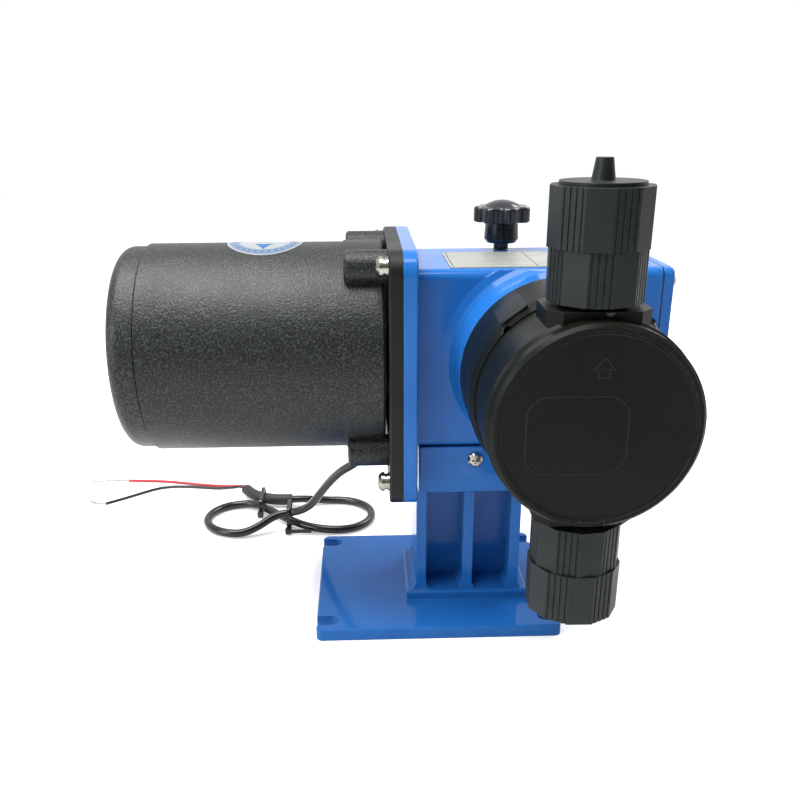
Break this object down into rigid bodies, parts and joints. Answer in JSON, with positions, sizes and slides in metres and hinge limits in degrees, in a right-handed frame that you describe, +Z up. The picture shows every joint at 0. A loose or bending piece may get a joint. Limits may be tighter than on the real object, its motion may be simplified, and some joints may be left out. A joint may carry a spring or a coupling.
{
  "type": "diaphragm metering pump",
  "caption": "Motor-driven diaphragm metering pump on a cast stand: a round motor, a geared eccentric drive, an adjustable stroke and a pump head with two ball valves and union nuts.",
  "frame": {"origin": "on the floor plane under the crossing of the motor axis and the pump head axis", "axes": "+Z up; the motor axis runs along X with the motor on -X; the pump head faces -Y"},
  "size_m": [0.402, 0.3383, 0.2753],
  "materials": {
    "blue_paint": "glossy enamel paint over a cast housing",
    "black_casting": "black textured powder coat",
    "black_plastic": "moulded black plastic with a soft sheen",
    "bright_steel": "bright plated steel",
    "shaft_steel": "ground steel",
    "bronze": "sintered bronze",
    "copper": "enamelled copper",
    "carbon": "pressed carbon",
    "seal_rubber": "black rubber",
    "ptfe": "white fluoropolymer",
    "cable_black": "soft black cable jacket",
    "wire_red": "red wire insulation"
  },
  "bodies": {
    "frame": {"base_stand": "blue_paint", "black_wire": "cable_black", "bracket_screws": "bright_steel", "brush_holders": "black_plastic", "cable_gland": "seal_rubber", "cable_sleeve": "cable_black", "cable_ties": "cable_black", "carbon_brushes": "carbon", "clamp_collar": "shaft_steel", "cover_gasket": "seal_rubber", "dial_retainer": "black_plastic", "diaphragm": "ptfe", "discharge_valve_body": "black_plastic", "field_magnets": "shaft_steel", "flange_screws": "bright_steel", "flange_washers": "bright_steel", "gear_bearings": "shaft_steel", "gear_housing": "blue_paint", "head_bolts": "bright_steel", "head_bracket": "black_plastic", "head_cover": "black_plastic", "motor_barrel": "black_casting", "motor_bearings": "shaft_steel", "motor_bolts": "bright_steel", "motor_cable": "cable_black", "motor_plate": "black_casting", "motor_rear_cap": "black_casting", "o_rings": "seal_rubber", "oil_seal": "seal_rubber", "port_plugs": "black_plastic", "pump_head": "black_plastic", "red_wire": "wire_red", "retainer_screws": "bright_steel", "return_spring": "shaft_steel", "rod_bush": "bronze", "side_cover": "blue_paint", "side_cover_screws": "bright_steel", "stand_screws": "bright_steel", "suction_valve_body": "black_plastic", "valve_seats": "ptfe"},
    "rotor": {"motor_shaft": "shaft_steel", "armature_core": "shaft_steel", "armature_windings": "copper", "commutator": "copper"},
    "layshaft": {"layshaft": "shaft_steel", "layshaft_wheel": "shaft_steel"},
    "eccentric": {"main_wheel": "shaft_steel", "eccentric_shaft": "shaft_steel", "cam_bearing": "shaft_steel"},
    "rod": {"push_rod": "shaft_steel", "diaphragm_insert": "shaft_steel", "backing_washer": "shaft_steel"},
    "plunger": {"stop_plunger": "shaft_steel"},
    "dial": {"stroke_dial": "black_plastic"},
    "lock": {"lock_knob": "black_plastic", "lock_stud": "bright_steel"},
    "discharge_ball": {"discharge_ball": "ptfe"},
    "suction_ball": {"suction_ball": "ptfe"},
    "discharge_union": {"discharge_union_nut": "black_plastic"},
    "suction_union": {"suction_union_nut": "black_plastic"}
  },
  "joints": [
    {"name": "rotor_spin", "type": "hinge", "parent": "frame", "child": "rotor", "pos_m": [-0.15, 0, 0.166], "axis": [1, 0, 0], "continuous": true},
    {"name": "layshaft_spin", "type": "hinge", "parent": "frame", "child": "layshaft", "pos_m": [-0.05, 0, 0.1436], "axis": [1, 0, 0], "continuous": true},
    {"name": "eccentric_spin", "type": "hinge", "parent": "frame", "child": "eccentric", "pos_m": [0, 0, 0.166], "axis": [1, 0, 0], "continuous": true},
    {"name": "push_rod_slide", "type": "slide", "parent": "frame", "child": "rod", "axis": [0, -1, 0], "range_m": [0, 0.004], "stiffness_N_per_m": 3000, "springref_m": -0.008, "deforming": ["return_spring", "diaphragm"]},
    {"name": "dial_turn", "type": "hinge", "parent": "frame", "child": "dial", "pos_m": [0, 0.06, 0.166], "axis": [0, 1, 0], "range_deg": [0, 350]},
    {"name": "plunger_slide", "type": "slide", "parent": "frame", "child": "plunger", "axis": [0, -1, 0], "range_m": [0, 0.0039]},
    {"name": "lock_knob_turn", "type": "hinge", "parent": "frame", "child": "lock", "pos_m": [-0.016, 0.031, 0.22], "axis": [0, 0, 1], "range_deg": [0, 360]},
    {"name": "discharge_ball_lift", "type": "slide", "parent": "frame", "child": "discharge_ball", "axis": [0, 0, 1], "range_m": [0, 0.002]},
    {"name": "suction_ball_lift", "type": "slide", "parent": "frame", "child": "suction_ball", "axis": [0, 0, 1], "range_m": [0, 0.002]},
    {"name": "discharge_union_turn", "type": "hinge", "parent": "frame", "child": "discharge_union", "pos_m": [0, -0.125, 0.252], "axis": [0, 0, 1], "range_deg": [0, 360]},
    {"name": "suction_union_turn", "type": "hinge", "parent": "frame", "child": "suction_union", "pos_m": [0, -0.125, 0.08], "axis": [0, 0, 1], "range_deg": [-360, 0]}
  ],
  "couplings": [
    {"joint": "layshaft_spin", "follows": "rotor_spin", "ratio": -0.33333},
    {"joint": "eccentric_spin", "follows": "rotor_spin", "ratio": 0.11111},
    {"joint": "plunger_slide", "follows": "dial_turn", "m_per_rad": 0.00063662}
  ]
}
